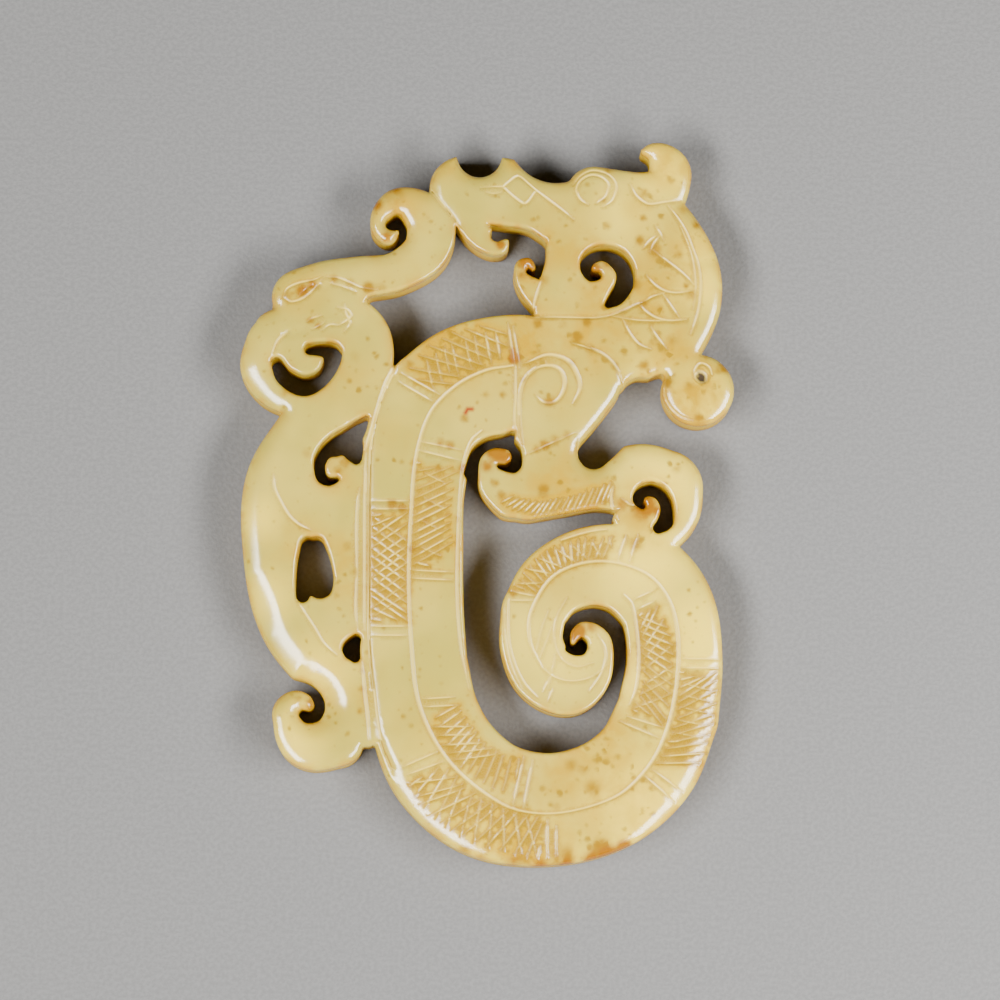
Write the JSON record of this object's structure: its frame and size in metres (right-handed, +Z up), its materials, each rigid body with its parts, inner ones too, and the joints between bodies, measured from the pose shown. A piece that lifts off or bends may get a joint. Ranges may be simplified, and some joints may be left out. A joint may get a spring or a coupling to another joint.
{
  "type": "jade openwork plaque",
  "caption": "Flat openwork jade plaque carved in one piece: a coiled dragon with a smaller beast on its back, scrolled tips and incised bands.",
  "frame": {"origin": "middle of the plaque's length and width, on the surface it lies on", "axes": "+X to the side that the dragon's back faces, +Y from the tail coil to the horn, +Z up out of the carved face"},
  "size_m": [0.0514, 0.0758, 0.0052],
  "materials": {
    "jade": "polished"
  },
  "bodies": {
    "root": {"dragon_plaque": "jade"}
  },
  "joints": []
}
